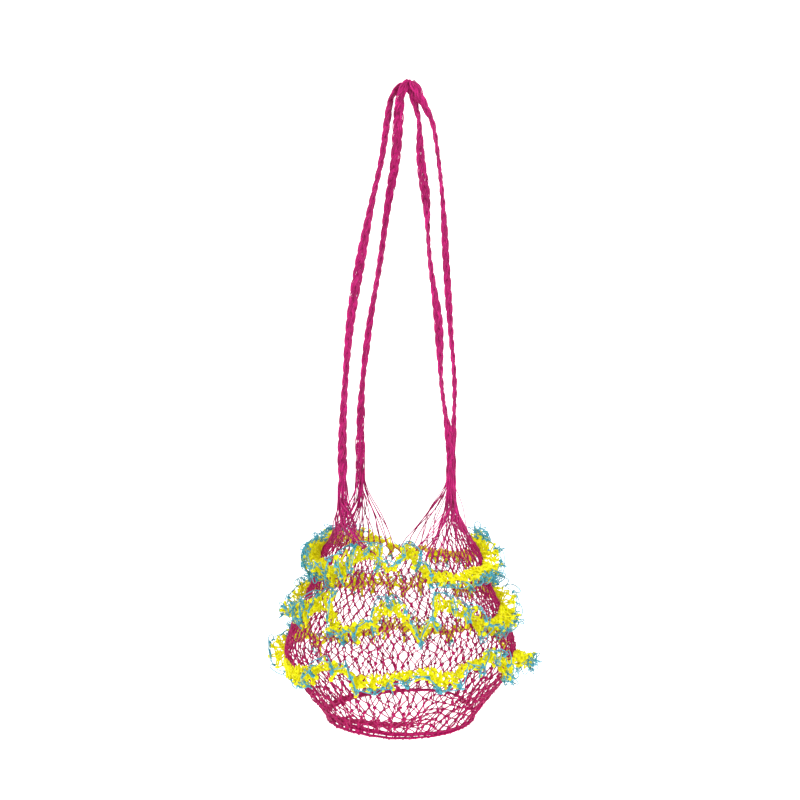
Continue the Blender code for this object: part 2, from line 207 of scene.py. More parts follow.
def lay_strings(paths, radius, corners=5):
    """Round strings along paths, an array of string x point x 3, as one Mesh."""
    paths = np.asarray(paths, float)
    count, steps = paths.shape[:2]
    along = unit(np.gradient(paths, axis=1))
    side = carried_sides(along)
    over = np.cross(along, side)
    angle = math.tau * np.arange(corners) / corners
    ring = np.cos(angle)[:, None] * side[:, :, None] + np.sin(angle)[:, None] * over[:, :, None]
    points = paths[:, :, None] + radius * ring
    index = np.arange(count * steps * corners).reshape(count, steps, corners)
    after = np.roll(index, -1, axis=2)
    walls = np.stack([index[:, :-1], after[:, :-1], after[:, 1:], index[:, 1:]], axis=-1)
    caps = np.concatenate([index[:, 0, ::-1], index[:, -1]])
    length = np.cumsum(np.linalg.norm(np.diff(paths, axis=1, prepend=paths[:, :1]), axis=2), axis=1)
    length += rng.uniform(0.0, 1.0, (count, 1))
    u = np.broadcast_to(length[:, :, None], (count, steps, corners))
    v = np.arange(corners + 1) / corners
    low, high = (np.broadcast_to(each, u[:, 1:].shape) for each in (v[:-1], v[1:]))
    four = ((u[:, :-1], low), (u[:, :-1], high), (u[:, 1:], high), (u[:, 1:], low))
    wall_uvs = np.stack([np.stack(corner, axis=-1) for corner in four], axis=-2)
    return Mesh(
        points.reshape(-1, 3),
        [walls.reshape(-1, 4), caps],
        [wall_uvs.reshape(-1, 4, 2), np.zeros((len(caps), corners, 2))],
    )


print("a mesh holds its", ", ".join(Mesh._fields))

# %% [markdown]
# ## From a mesh to an object
#
# Strings and knots of one piece are joined and handed to Blender in a few large blocks, because adding
# them one by one would take minutes. The object stays at the origin with its place in its mesh.

# %% Objects
def joined(parts):
    """Several Meshes as one."""
    points, faces, uvs, start = [], [], [], 0
    for part in parts:
        points.append(part.points)
        faces += [each + start for each in part.faces]
        uvs += part.uvs
        start += len(part.points)
    return Mesh(np.concatenate(points), faces, uvs)


def as_object(name, *parts):
    """Makes one smooth-shaded object of one or more Meshes."""
    made = joined(parts)
    mesh = bpy.data.meshes.new(name)
    sizes = np.concatenate([np.full(len(each), each.shape[1]) for each in made.faces])
    corners = np.concatenate([each.ravel() for each in made.faces])
    starts = np.concatenate([[0], np.cumsum(sizes)[:-1]])
    mesh.vertices.add(len(made.points))
    mesh.vertices.foreach_set("co", made.points.ravel())
    mesh.loops.add(len(corners))
    mesh.loops.foreach_set("vertex_index", corners.astype(np.int32))
    mesh.polygons.add(len(sizes))
    mesh.polygons.foreach_set("loop_start", starts.astype(np.int32))
    mesh.update(calc_edges=True)
    mesh.polygons.foreach_set("use_smooth", np.ones(len(sizes), bool))
    layer = mesh.uv_layers.new(name="string")
    layer.data.foreach_set("uv", np.concatenate([each.ravel() for each in made.uvs]).astype(np.float32))
    obj = bpy.data.objects.new(name, mesh)
    bpy.context.scene.collection.objects.link(obj)
    print(f"{name}: {int(np.sum(sizes - 2))} triangles")
    return obj


# %% [markdown]
# ## One knot, modelled by hand
#
# A netting knot is the string wrapped tightly round the two strings that pass through it. At this size it
# reads as two small crossed wraps. It is modelled once from two torus primitives, tilted against each
# other and joined, and every knot of the bag is a copy with its own turn and size. A few dozen faces are
# enough, because there are thousands of copies. The edging's thin string makes a knot of one wrap.

# %% Knot models
STRING_RADIUS = 0.84 * MM
WRAP_RADIUS = 1.3 * MM
WRAP_TILT = 0.55
WRAP_LEAN = 0.35
WRAP_TURN = 0.4


def model_knot(wraps, segments, corners):
    """Crossed wraps of string as a Mesh round the origin, with the passing strings along Z."""
    bpy.ops.object.select_all(action="DESELECT")
    loops = []
    for wrap in range(wraps):
        tilt = WRAP_TILT if wrap % 2 else -WRAP_TILT
        bpy.ops.mesh.primitive_torus_add(
            major_segments=segments,
            minor_segments=corners,
            major_radius=WRAP_RADIUS,
            minor_radius=STRING_RADIUS,
            rotation=(tilt, WRAP_LEAN * tilt, WRAP_TURN * wrap),
        )
        loops.append(bpy.context.object)
    for loop in loops:
        loop.select_set(True)
    if len(loops) > 1:
        bpy.ops.object.join()
    bpy.ops.object.transform_apply(location=True, rotation=True, scale=True)
    knot = bpy.context.object
    mesh = knot.data
    points = np.array([vertex.co for vertex in mesh.vertices])
    faces = np.array([list(face.vertices) for face in mesh.polygons])
    uvs = np.array([tuple(each.uv) for each in mesh.uv_layers[0].data]).reshape(len(faces), 4, 2)
    uvs[..., 0] *= math.tau * WRAP_RADIUS
    bpy.data.objects.remove(knot, do_unlink=True)
    return Mesh(points, [faces], [uvs])


NET_KNOT = model_knot(wraps=2, segments=5, corners=3)
LOOP_KNOT = model_knot(wraps=1, segments=4, corners=3)
print("faces in a net's knot:", len(NET_KNOT.faces[0]), "and in a loop's:", len(LOOP_KNOT.faces[0]))

# %% [markdown]
# ## Copies of a knot
#
# No two knots are pulled alike. `tie_knots` puts a copy of a knot at each place, sets it upright and
# facing out, and then turns and sizes it a little by chance.

# %% Copies of a knot
def tie_knots(model, places, upright, facing, size=1.0, wobble=0.5, uneven=0.18):
    """Copies of a knot model, their Z along upright and their Y towards facing, each a little turned."""
    places = places.reshape(-1, 3)
    upright = unit(np.broadcast_to(upright, places.shape) + wobble * rng.normal(0, 0.5, places.shape))
    facing = np.broadcast_to(facing, places.shape) + wobble * rng.normal(0, 0.5, places.shape)
    across = unit(np.cross(facing, upright))
    turned = np.stack([across, np.cross(upright, across), upright], axis=1)
    scale = size * rng.uniform(1 - uneven, 1 + uneven, (len(places), 1, 1))
    points = places[:, None] + scale * (model.points @ turned)
    starts = len(model.points) * np.arange(len(places))
    faces = (model.faces[0][None] + starts[:, None, None]).reshape(-1, 4)
    uvs = np.tile(model.uvs[0], (len(places), 1, 1))
    return Mesh(points.reshape(-1, 3), [faces], [uvs])


print("points in a net's knot:", len(NET_KNOT.points))

# %% [markdown]
# ## The net wall's knots
#
# The body is knotted row by row: each knot hangs from two above and holds two below, so the knots of one
# row stand between those of the next. The straps pull hardest at the two sides, which draws the columns
# there together into dense bunches and leaves wide meshes at the front and back. Near the ring the columns
# are drawn together in pairs. Every knot also drifts with its neighbours and strays a little on its own.

# %% Where the wall's knots are
COLUMNS = 80
LEVELS = 20
CROWDING = (0.13, 0.02)
EVENING = 1.2
PAIRED_FROM = 14
PAIRING = 0.75
KNOT_STRAY = 0.25
Drift = namedtuple("Drift", "size by_level by_column start")
DRIFTS = rows(Drift, (0.35, 0.7, 0.5, 0.0), (0.30, 0.31, -0.83, 1.0))
DRIFT_ROUND = 0.5
DRIFT_DOWN = 0.3
NET_MARGIN = 0.008


def column_turn(column, level):
    """The angle of a net column, crowded towards the two sides at the mouth and evener below."""
    angle = math.tau * column / COLUMNS
    crowding = CROWDING[0] * np.sin(2 * angle) + CROWDING[1] * np.sin(4 * angle)
    return angle - (1 - EVENING * level / LEVELS) * crowding


def net_knots():
    """Turn and depth of every wall knot, as two arrays of level x column."""
    level, column = np.meshgrid(np.arange(LEVELS + 1), np.arange(COLUMNS), indexing="ij")
    inner = (level > 0) & (level < LEVELS)
    angles = [each.by_level * level + each.by_column * column + each.start for each in DRIFTS]
    drift = sum(each.size * np.sin(angle) for each, angle in zip(DRIFTS, angles)) * inner
    stray = rng.uniform(-KNOT_STRAY, KNOT_STRAY, (2, *level.shape)) * inner
    beside = 0.5 - column % 2
    paired = PAIRING * np.clip((level - PAIRED_FROM) / (LEVELS - PAIRED_FROM), 0, 1)
    place = column + paired * beside + 0.5 * (level % 2) + stray[0] + DRIFT_ROUND * drift
    depth = (level + stray[1] + DRIFT_DOWN * drift) / LEVELS
    return column_turn(place, level), NET_MARGIN + (1 - 2 * NET_MARGIN) * depth


knot_turn, knot_down = net_knots()
knot_place = wall_point(knot_turn, knot_down)
knot_out = unit(wall_point(knot_turn, knot_down, MM) - knot_place).reshape(-1, 3)
print("knots in the wall:", knot_turn.size)

# %% [markdown]
# ## The net wall's strings
#
# The string is soft, so it leaves a knot nearly straight down, swings across, and hangs a little slack.
# The netting gets heavier on its way down, where the goods press: string and knots grow from the mouth
# to the ring. A distance sideways becomes a turn when it is divided by the body's mean radius.

# %% Net wall
SLACK = 1.3 * MM
MEAN_RADIUS = 0.14
NET_STEPS = 5
NET_STRING = (0.70 * MM, 0.86 * MM)
NET_KNOT_SIZE = (1.05, 1.40)


def net_paths(turn, down):
    """The strings from each knot to the two that it holds below."""
    paths = []
    share = np.linspace(0, 1, NET_STEPS)
    for side in (0, 1):
        for level in range(LEVELS):
            below = (np.arange(COLUMNS) + side - 1 + level % 2) % COLUMNS
            start, end = turn[level], turn[level + 1, below]
            end = start + (end - start + math.pi) % math.tau - math.pi
            bow = np.sin(math.pi * share) * rng.normal(0, SLACK, (2, COLUMNS, 1))
            at_turn = start[:, None] + eased(share) * (end - start)[:, None] + bow[0] / MEAN_RADIUS
            at_down = down[level][:, None] + share * (down[level + 1, below] - down[level])[:, None]
            paths.append(wall_point(at_turn, at_down, bow[1]))
    return np.concatenate(paths)


string_radius = np.tile(np.repeat(np.linspace(*NET_STRING, LEVELS), COLUMNS), 2)[:, None, None, None]
knot_size = np.repeat(np.linspace(*NET_KNOT_SIZE, LEVELS + 1), COLUMNS)[:, None, None]
net_wall = as_object(
    "net_wall_strings", lay_strings(net_paths(knot_turn, knot_down), string_radius, corners=4)
)
wall_knots = as_object(
    "net_wall_knots", tie_knots(NET_KNOT, knot_place, (0, 0, 1), knot_out, size=knot_size)
)

# %% [markdown]
# ## The base ring
#
# The maker draws the last row in with several strings at once and knots over them, which gives a thick,
# bumpy ring with slits in it. Here it is three ropes, one over another, each a few strings wound round
# one another, with knots between and over them. The ring stands taller on the left than on the right,
# and the net pulls it up in two places.

# %% Base ring
BASE_Z = -0.9038
BASE_RADIUS = 0.1045
TALL = Wave(0.45, 1, 1.2)
TALL_MIDDLE = 0.55
Lift = namedtuple("Lift", "turn rise spread")
RIM_LIFTS = rows(Lift, (0.8, 7.0 * MM, 0.17), (3.95, 3.0 * MM, 0.20))
Rope = namedtuple("Rope", "out up radius")
ROPES = rows(
    Rope, (1.2 * MM, -2.6 * MM, 1.5 * MM), (-0.4 * MM, 2.6 * MM, 1.5 * MM), (0.6 * MM, 6.0 * MM, 1.3 * MM)
)
ROPE_STRINGS = 5
ROPE_WINDS = 40
ROPE_STEPS = 241
ROPE_WAVES = rows(Wave, (0.4 * MM, 23, 0), (0.3 * MM, 9, 1))
RING_KNOTS = 150
RING_KNOT_UP = (-3.0 * MM, 1.8 * MM)
RING_KNOT_OUT = 1.2 * MM
RING_KNOT_STRAY = 0.6 * MM
RING_KNOT_SIZE = 1.15


def rim_lift(turn):
    """How far the net pulls the ring up."""
    return sum(lift.rise * np.exp(-(1 - np.cos(turn - lift.turn)) / lift.spread) for lift in RIM_LIFTS)


def ring_point(turn, out, up):
    """A point of the ring from its turn and its distance outwards and upwards from the middle circle."""
    reach = BASE_RADIUS + out
    up = up * (TALL_MIDDLE - waves([TALL], turn)) + rim_lift(turn)
    return np.stack([BODY_X + reach * np.cos(turn), reach * np.sin(turn), BASE_Z + up], axis=-1)


def rope_paths(rope):
    """The strings of one rope of the ring, wound round its middle."""
    turn = np.linspace(0, math.tau, ROPE_STEPS)
    start = math.tau * np.arange(ROPE_STRINGS)[:, None] / ROPE_STRINGS
    wind = start + ROPE_WINDS * turn
    out = rope.out + rope.radius * np.cos(wind)
    up = rope.up + rope.radius * np.sin(wind) + waves(ROPE_WAVES, turn)
    return ring_point(np.broadcast_to(turn, out.shape), out, up)


ring_turn = math.tau * (np.arange(RING_KNOTS) + rng.uniform(-0.25, 0.25, RING_KNOTS)) / RING_KNOTS
ring_up = np.where(np.arange(RING_KNOTS) % 2, *RING_KNOT_UP) + rng.normal(0, RING_KNOT_STRAY, RING_KNOTS)
ring_place = ring_point(ring_turn, RING_KNOT_OUT, ring_up)
ring_along = np.stack([-np.sin(ring_turn), np.cos(ring_turn), 0 * ring_turn], axis=-1)
base_ring = as_object(
    "base_ring_ropes",
    *(lay_strings(rope_paths(rope), STRING_RADIUS, corners=4) for rope in ROPES),
    tie_knots(NET_KNOT, ring_place, ring_along, (0, 0, 1), size=RING_KNOT_SIZE),
)

# %% [markdown]
# ## The base net
#
# The base is closed by the same netting, laid flat and sagging a little. One band of its meshes is drawn
# tight into a dense strip near the front left and fans out towards the right, so the rows are given by
# where they start on the left and where they end on the right, as shares of the ring's radius.

# %% Where the base's knots are
BASE_SAG = 0.011
Row = namedtuple("Row", "left right")
BASE_ROWS = rows(
    Row, (-0.99, -0.99), (-0.42, -0.52), (-0.32, -0.16), (-0.29, 0.03), (-0.26, 0.17), (-0.23, 0.28),
    (-0.20, 0.38), (-0.17, 0.47), (-0.13, 0.56), (-0.06, 0.67), (0.42, 0.80), (0.99, 0.99),
)
BASE_COLUMNS = 11
BASE_REACH = BASE_RADIUS - 2.2 * MM
BASE_EDGE = 1.05
BASE_STRAY = (0.016, 0.010)
FANS_OUT = (-0.05, 0.65)


def base_point(across, back, lift=0.0):
    """A point of the sagging base from two numbers from -1 to 1, kept inside the round rim."""
    far = np.maximum(1.0, np.hypot(across, back))
    x, y = across / far, back / far
    spread = np.minimum(1.0, x * x + y * y)
    lift = lift - BASE_SAG * (1 - spread) + rim_lift(np.arctan2(y, x)) * spread
    return np.stack([BODY_X + BASE_REACH * x, BASE_REACH * y, BASE_Z + lift], axis=-1)


def base_layout():
    """Where the base knots lie, as two arrays of row x column."""
    row, column = np.meshgrid(np.arange(len(BASE_ROWS)), np.arange(BASE_COLUMNS), indexing="ij")
    across = -BASE_EDGE + 2 * BASE_EDGE * (column + 0.5 * (row % 2)) / (BASE_COLUMNS - 0.5)
    across = across + rng.normal(0, BASE_STRAY[0], across.shape)
    share = eased(np.clip((across - FANS_OUT[0]) / (FANS_OUT[1] - FANS_OUT[0]), 0, 1))
    left = np.array([each.left for each in BASE_ROWS])[:, None]
    right = np.array([each.right for each in BASE_ROWS])[:, None]
    back = left + share * (right - left) + rng.normal(0, BASE_STRAY[1], across.shape)
    return across, back


base_across, base_back = base_layout()
print("lines of knots in the base:", len(BASE_ROWS))

# %% [markdown]
# ## The base net's strings
#
# They run from knot to knot as in the wall. Knots outside the rim aren't tied: a string that would reach
# one ends on the ring.

# %% Base net
BASE_SLACK = 0.012
BASE_BOW_BACK = 0.4
BASE_STRING = 1.15 * STRING_RADIUS
BASE_KNOT_SIZE = 1.25


def base_paths(across, back):
    """The base's strings, and the knots that they hold, as row and column."""
    paths, tied = [], set()
    share = np.linspace(0, 1, 4)
    for row in range(len(BASE_ROWS) - 1):
        for column in range(BASE_COLUMNS):
            for beyond in (column - 1 + row % 2, column + row % 2):
                if not 0 <= beyond < BASE_COLUMNS:
                    continue
                start, end = (row, column), (row + 1, beyond)
                held = [knot for knot in (start, end) if math.hypot(across[knot], back[knot]) < 1.0]
                if not held:
                    continue
                tied.update(held)
                at_across = across[start] + share * (across[end] - across[start])
                at_back = back[start] + share * (back[end] - back[start])
                bow = np.sin(math.pi * share) * rng.normal(0, BASE_SLACK, 2)[:, None]
                paths.append(base_point(at_across + bow[0], at_back + BASE_BOW_BACK * bow[1]))
    return np.array(paths), np.array(sorted(tied))


base_strings, tied = base_paths(base_across, base_back)
base_place = base_point(base_across[tuple(tied.T)], base_back[tuple(tied.T)])
base_net = as_object(
    "base_net_strings",
    lay_strings(base_strings, BASE_STRING, corners=4),
    tie_knots(NET_KNOT, base_place, (0, 1, 0), (0, 0, 1), size=BASE_KNOT_SIZE),
)

# %% [markdown]
# ## The frills' places
#
# Each frill is a strip of fine, dense netting, much longer than the way round the bag, so it gathers into
# deep folds where it is tied on. Its table says, going round in degrees, how many millimetres the strip
# drops below its line and how many degrees it leans: at -84 it stands up along the wall, at 0 it stands
# straight out, and at 84 it hangs down. `swings` gives how many degrees the folds swing its free edge in
# each twelfth of the way round, because the folds are lively at the mouth and calm low down.

# %% Frill tables
Place = namedtuple("Place", "turn drop lean")
Frill = namedtuple("Frill", "height swings places")
FRILLS = {
    "top": Frill(-0.672, (28, 34, 30, 38, 34, 34, 48, 72, 72, 52, 30, 34), rows(
        Place, (0, 4, 18), (7, 0, -60), (22, 2, -20), (34, 11, 45), (50, 13, 62), (72, 12, 60), (90, 8, 45),
        (104, 6, 40), (114, 2, 5), (124, -1, -42), (148, -2, -50), (164, -8, -50), (177, -3, -32),
        (190, 0, -5), (199, 6, 50), (208, 9, 68), (218, 10, 45), (228, 8, 66), (237, 1, -10),
        (246, -2, -42), (256, 0, -25), (262, 8, 40), (268, 2, -20), (275, -2, -48), (281, 4, 10),
        (287, 12, 64), (300, 14, 70), (314, 14, 62), (328, 13, 50), (340, 12, 46), (352, 8, 52),
    )),
    "middle": Frill(-0.741, (14, 30, 42, 44, 42, 34, 34, 40, 48, 52, 42, 24), rows(
        Place, (2, 1, -66), (8, 6, -84), (22, 5, -84), (34, 0, 0), (48, 0, 40), (68, -4, 0), (92, 4, 38),
        (118, 2, 2), (143, 0, -20), (156, 0, -76), (170, 0, -80), (176, 1, -58), (181, 4, -5),
        (186, 8, 34), (191, 10, 60), (199, 6, 52), (210, 0, 40), (220, -2, -20), (226, -4, -50),
        (233, 6, 40), (243, 12, 70), (253, 8, 50), (259, -4, -20), (265, -8, -48), (270, 0, 0),
        (276, 10, 66), (282, 8, 50), (287, 0, -5), (295, -8, -40), (305, -2, 0), (314, 8, 50),
        (325, 12, 66), (338, 10, 60), (349, 9, 68), (355, 8, 60), (359, 3, 0),
    )),
    "low": Frill(-0.812, (4, 14, 34, 40, 36, 14, 6, 10, 20, 20, 20, 10), rows(
        Place, (8, 5, 34), (18, 8, 66), (24, 6, 30), (30, 2, -50), (45, 0, -72), (56, 0, -10), (66, 0, 48),
        (95, 4, 4), (120, 2, 34), (140, 0, -10), (156, 0, -76), (168, 0, -84), (173, -1, -76),
        (177, -2, -30), (180, -1, 8), (183, 2, 78), (202, 5, 84), (212, 3, 80), (222, 0, 66),
        (232, -3, 0), (244, -7, -12), (251, 1, 45), (259, 2, 58), (268, -8, 38), (279, -8, 42),
        (292, -7, 42), (304, -10, 18), (314, -12, 0), (324, -6, 45), (332, -2, 78), (341, -4, 82),
        (346, -3, 30), (352, 2, 8), (358, 4, 14),
    )),
}
for name, frill in FRILLS.items():
    print(f"frill {name}: {len(frill.places)} places")

# %% [markdown]
# ## The frills' folds
#
# Between those places three sizes of fold go round. Small gathers lift and press the sewn edge. Ruffles,
# each with its own swing, rise and width, carry the strip to and fro, more and more towards its free edge.
# Curls, three to a ruffle, flutter the free edge. A few slow waves keep all of them from being even.

# %% Frill surface
FRILL_WIDTH = 0.022
SEWN_OUT = 1.4 * MM
GATHERS = 97
GATHER_WAVES = [Wave(2.0, 5, 100)]
GATHER_RISE = 1.8 * MM
GATHER_OUT = 0.8 * MM
RUFFLES = 42
RUFFLE_WAVES = rows(Wave, (1.8, 3, 100), (1.3, 8, 200), (0.9, 17, 300))
RUFFLE_SWAY = 0.05
CURLS = 128
CURL_WAVES = [Wave(1.6, 13, 50)]
CURL_SWING = 12
MOST_LEAN = 84.0
Folds = namedtuple("Folds", "swing rise width")
FOLDS = {
    name: Folds(rng.uniform(0.6, 1.4, RUFFLES), rng.normal(0, 3.6, RUFFLES), rng.uniform(0.8, 1.15, RUFFLES))
    for name in FRILLS
}


def frill_point(name, turn, reach):
    """Points of a frill: turn in radians round the bag, reach in metres from its sewn edge."""
    height, swings, places = FRILLS[name]
    degrees = np.degrees(turn)
    turns, drops, leans = zip(*places)
    drop = through(turns, drops, degrees, 360) * MM
    lean = through(turns, leans, degrees, 360)
    each = np.arange(RUFFLES) * 360 / RUFFLES
    swing, rise, width = (through(each, values, degrees, 360) for values in FOLDS[name])
    swing = swing * through(np.arange(12) * 30, swings, degrees, 360)
    gather = GATHERS * turn + waves(GATHER_WAVES, turn, height)
    ruffle = RUFFLES * turn + waves(RUFFLE_WAVES, turn, height)
    curl = CURLS * turn + waves(CURL_WAVES, turn, height)
    share = reach / FRILL_WIDTH
    reach = reach * width
    drop = drop + rise * MM + GATHER_RISE * np.sin(gather)
    flutter = share * swing * np.sin(ruffle) + CURL_SWING * share**2 * np.sin(curl)
    lean = np.radians(np.clip(lean + flutter, -MOST_LEAN, MOST_LEAN))
    turn = turn + RUFFLE_SWAY * share * np.cos(ruffle)
    top = mouth_height(turn)
    down = (top - (height - drop)) / (top - WALL_END_Z)
    out = SEWN_OUT + GATHER_OUT * (1 + np.cos(gather)) + reach * np.cos(lean)
    return wall_point(turn, down + reach * np.sin(lean) / WALL_LENGTH, out)


FULL_TURN = np.linspace(0, math.tau, 4001)
for name in FRILLS:
    edge = frill_point(name, FULL_TURN, FRILL_WIDTH)
    length = np.linalg.norm(np.diff(edge, axis=0), axis=1).sum()
    print(f"frill {name}: free edge {length:.2f} m along its folds")

# %% [markdown]
# ## The frills' netting
#
# The strip is netted like the wall, only much smaller: its knots nearly touch, and that is why it looks
# like solid colour from a step away. The knots are spread evenly along the folded strip, not round the
# bag, so that deep folds get as many as they need.

# %% Frill netting
FRILL_COLUMNS = 270
FRILL_ROWS = 3
FRILL_EVEN_AT = 0.6
FRILL_UNEVEN = 0.3
FRILL_UNEVEN_OUT = 0.8
FRILL_STRING = 1.15 * MM
FRILL_KNOT_SIZE = 1.4
FRILL_STRAY = 1.4 * MM


def even_turns(name, count, reach):
    """Turns that lie evenly spaced along the ruffled line at one reach of a frill."""
    steps = np.linalg.norm(np.diff(frill_point(name, FULL_TURN, reach), axis=0), axis=1)
    length = np.concatenate([[0], np.cumsum(steps)])
    return np.interp(np.arange(count + 1) / count * length[-1], length, FULL_TURN)


def frill_layout(name):
    """Turn and reach of every knot of a frill, as two arrays of row x column."""
    even = even_turns(name, FRILL_COLUMNS, FRILL_EVEN_AT * FRILL_WIDTH)
    row, column = np.meshgrid(np.arange(FRILL_ROWS + 1), np.arange(FRILL_COLUMNS), indexing="ij")
    stray = rng.uniform(-FRILL_UNEVEN, FRILL_UNEVEN, (2, *row.shape)) * (row > 0)
    place = (column + 0.5 * (row % 2) + stray[0]) % FRILL_COLUMNS
    turn = np.interp(place, np.arange(FRILL_COLUMNS + 1), even)
    return turn, FRILL_WIDTH * (row + FRILL_UNEVEN_OUT * stray[1]) / FRILL_ROWS


def frill_paths(name, turn, reach, places):
    """The strings of a frill from each knot to the two beyond it."""
    paths = []
    share = np.array([0.0, 0.5, 1.0])
    for side in (0, 1):
        for row in range(FRILL_ROWS):
            beyond = (np.arange(FRILL_COLUMNS) + side - 1 + row % 2) % FRILL_COLUMNS
            start, end = turn[row], turn[row + 1, beyond]
            end = start + (end - start + math.pi) % math.tau - math.pi
            at_turn = start[:, None] + share * (end - start)[:, None]
            at_reach = reach[row][:, None] + share * (reach[row + 1, beyond] - reach[row])[:, None]
            path = frill_point(name, at_turn, at_reach)
            path[:, 0], path[:, 2] = places[row], places[row + 1, beyond]
            path[:, 1] += rng.normal(0, FRILL_STRAY, path[:, 1].shape)
            paths.append(path)
    return np.concatenate(paths)


def make_frill(name):
    """A frill's strings and its knots, as two objects."""
    turn, reach = frill_layout(name)
    places = frill_point(name, turn, reach)
    places[1:] += rng.normal(0, FRILL_STRAY, places[1:].shape)
    outwards = unit(places[1:] - frill_point(name, turn[1:], 0.5 * reach[1:])).reshape(-1, 3)
    strings = lay_strings(frill_paths(name, turn, reach, places), FRILL_STRING, corners=5)
    netting = as_object(f"frill_{name}_netting", strings)
    knots = tie_knots(
        NET_KNOT, places[1:], outwards, (0.3, -0.9, 0.3), size=FRILL_KNOT_SIZE, wobble=1.0, uneven=0.4
    )
    return netting, as_object(f"frill_{name}_knots", knots)


frills, frill_knots = {}, {}
for name in FRILLS:
    frills[name], frill_knots[name] = make_frill(name)

# %% [markdown]
# ## The looped edging
#
# A thin blue string is looped along each frill's free edge: an arch from knot to knot, and over the tops
# of those arches a second, looser row. The arch is a half turn whose height and lean change from loop to
# loop, which is what makes the edge look curly. The loops on the near side are pulled closer to the frill
# than those at the sides.

# %% Looped edging
LOOPS = 216
LOOP_STEPS = 10
Loop = namedtuple("Loop", "height wide curl string")
INNER_LOOP = Loop(3.0 * MM, 0.30, 0.25, 0.58 * MM)
OUTER_LOOP = Loop(8.0 * MM, 0.40, 0.12, 0.68 * MM)
LOOP_HEIGHTS = (0.6, 1.5)
LOOP_STRAY = 0.22
LOOP_KNOT_SIZE = 1.3
NEAR_CURL = 0.5
SIDE_CURL = 0.2


def arches(feet, outwards, loop, stretch=1.0):
    """Arches from each foot to the next, standing outwards and curling a little."""
    share = np.linspace(0, 1, LOOP_STEPS)[:, None]
    beside = (np.roll(feet, -1, axis=0) - feet)[:, None]
    tall = (loop.height * stretch * rng.uniform(*LOOP_HEIGHTS, len(feet)))[:, None, None]
    curl = loop.height * rng.normal(0, loop.curl, (2, len(feet), 1, 3))
    arch, wave = np.sin(math.pi * share), np.sin(math.tau * share)
    path = feet[:, None] + (share - loop.wide * wave) * beside
    return path + arch * (tall * outwards[:, None] + curl[0]) + wave * curl[1]


def make_edging(name):
    """The two rows of loops on a frill's free edge, with a small knot where they meet."""
    turn = even_turns(name, LOOPS, FRILL_WIDTH)[:-1]
    feet = frill_point(name, turn, FRILL_WIDTH)
    outwards = unit(feet - frill_point(name, turn, 0.8 * FRILL_WIDTH))
    outwards = unit(outwards + rng.normal(0, LOOP_STRAY, outwards.shape))
    first = arches(feet, outwards, INNER_LOOP)
    tops = first[:, LOOP_STEPS // 2]
    stretch = 1 + SIDE_CURL * np.cos(turn) - NEAR_CURL * np.maximum(0, -np.sin(turn))
    second = arches(tops, outwards, OUTER_LOOP, stretch)
    return as_object(
        f"edging_{name}_loops",
        lay_strings(first, INNER_LOOP.string, corners=3),
        lay_strings(second, OUTER_LOOP.string, corners=4),
        tie_knots(
            LOOP_KNOT, tops, (0.2, 0.1, 1.0), (0, -1, 0), size=LOOP_KNOT_SIZE, wobble=1.0, uneven=0.6
        ),
    )


edgings = {name: make_edging(name) for name in FRILLS}

# %% [markdown]
# ## The straps' routes
#
# Each strap goes from the mouth's left side up over the hook and down to its right side, one strap at the
# front of the mouth and one at the back. A route is a table of places for each leg, with one more place
# over the hook. The two straps lie side by side there and lean apart below.

# %% Strap routes
Step = namedtuple("Step", "x y z")
Route = namedtuple("Route", "left top right")
STRAP_ROUTES = {
    "strap_front": Route(
        rows(
            Step, (-0.0895, -0.076, -0.5750), (-0.0905, -0.066, -0.5100), (-0.0875, -0.054, -0.4300),
            (-0.0805, -0.042, -0.3410), (-0.0665, -0.030, -0.2520), (-0.0500, -0.018, -0.1650),
            (-0.0375, -0.010, -0.1060), (-0.0295, -0.001, -0.0490), (-0.0245, 0.003, -0.0190),
            (-0.0192, 0.005, -0.0062),
        ),
        Step(-0.0046, 0.0064, 0.0057),
        rows(
            Step, (0.0060, 0.005, -0.0062), (0.0092, 0.003, -0.0190), (0.0160, -0.002, -0.0490),
            (0.0187, -0.010, -0.1060), (0.0257, -0.018, -0.1650), (0.0310, -0.030, -0.2520),
            (0.0425, -0.042, -0.3410), (0.0465, -0.054, -0.4300), (0.0570, -0.066, -0.5100),
            (0.0590, -0.074, -0.5650),
        ),
    ),
    "strap_back": Route(
        rows(
            Step, (-0.0715, 0.072, -0.5600), (-0.0710, 0.064, -0.5100), (-0.0675, 0.052, -0.4300),
            (-0.0565, 0.040, -0.3410), (-0.0410, 0.028, -0.2520), (-0.0285, 0.016, -0.1650),
            (-0.0180, 0.006, -0.1060), (-0.0137, -0.003, -0.0490), (-0.0110, -0.006, -0.0190),
            (-0.0070, -0.0066, -0.0060),
        ),
        Step(0.0030, -0.0074, 0.0057),
        rows(
            Step, (0.0118, -0.0070, -0.0022), (0.0177, -0.0060, -0.0158), (0.0278, -0.002, -0.0340),
            (0.0366, 0.001, -0.0543), (0.0450, 0.006, -0.1060), (0.0515, 0.016, -0.1650),
            (0.0570, 0.028, -0.2520), (0.0635, 0.040, -0.3410), (0.0705, 0.052, -0.4300),
            (0.0690, 0.064, -0.5100), (0.0670, 0.070, -0.5550),
        ),
    ),
}
for name, route in STRAP_ROUTES.items():
    print(f"{name}: {len(route.left)} places up and {len(route.right)} down")

# %% [markdown]
# ## The straps' twists
#
# A plait is flat, and a hanging strap shows now its broad side and now its edge. For each leg a second
# table gives, by height, the angle of the broad side in degrees, where 0 is square to the viewer and 90
# is edge on. The left leg is read upwards and the right one downwards.

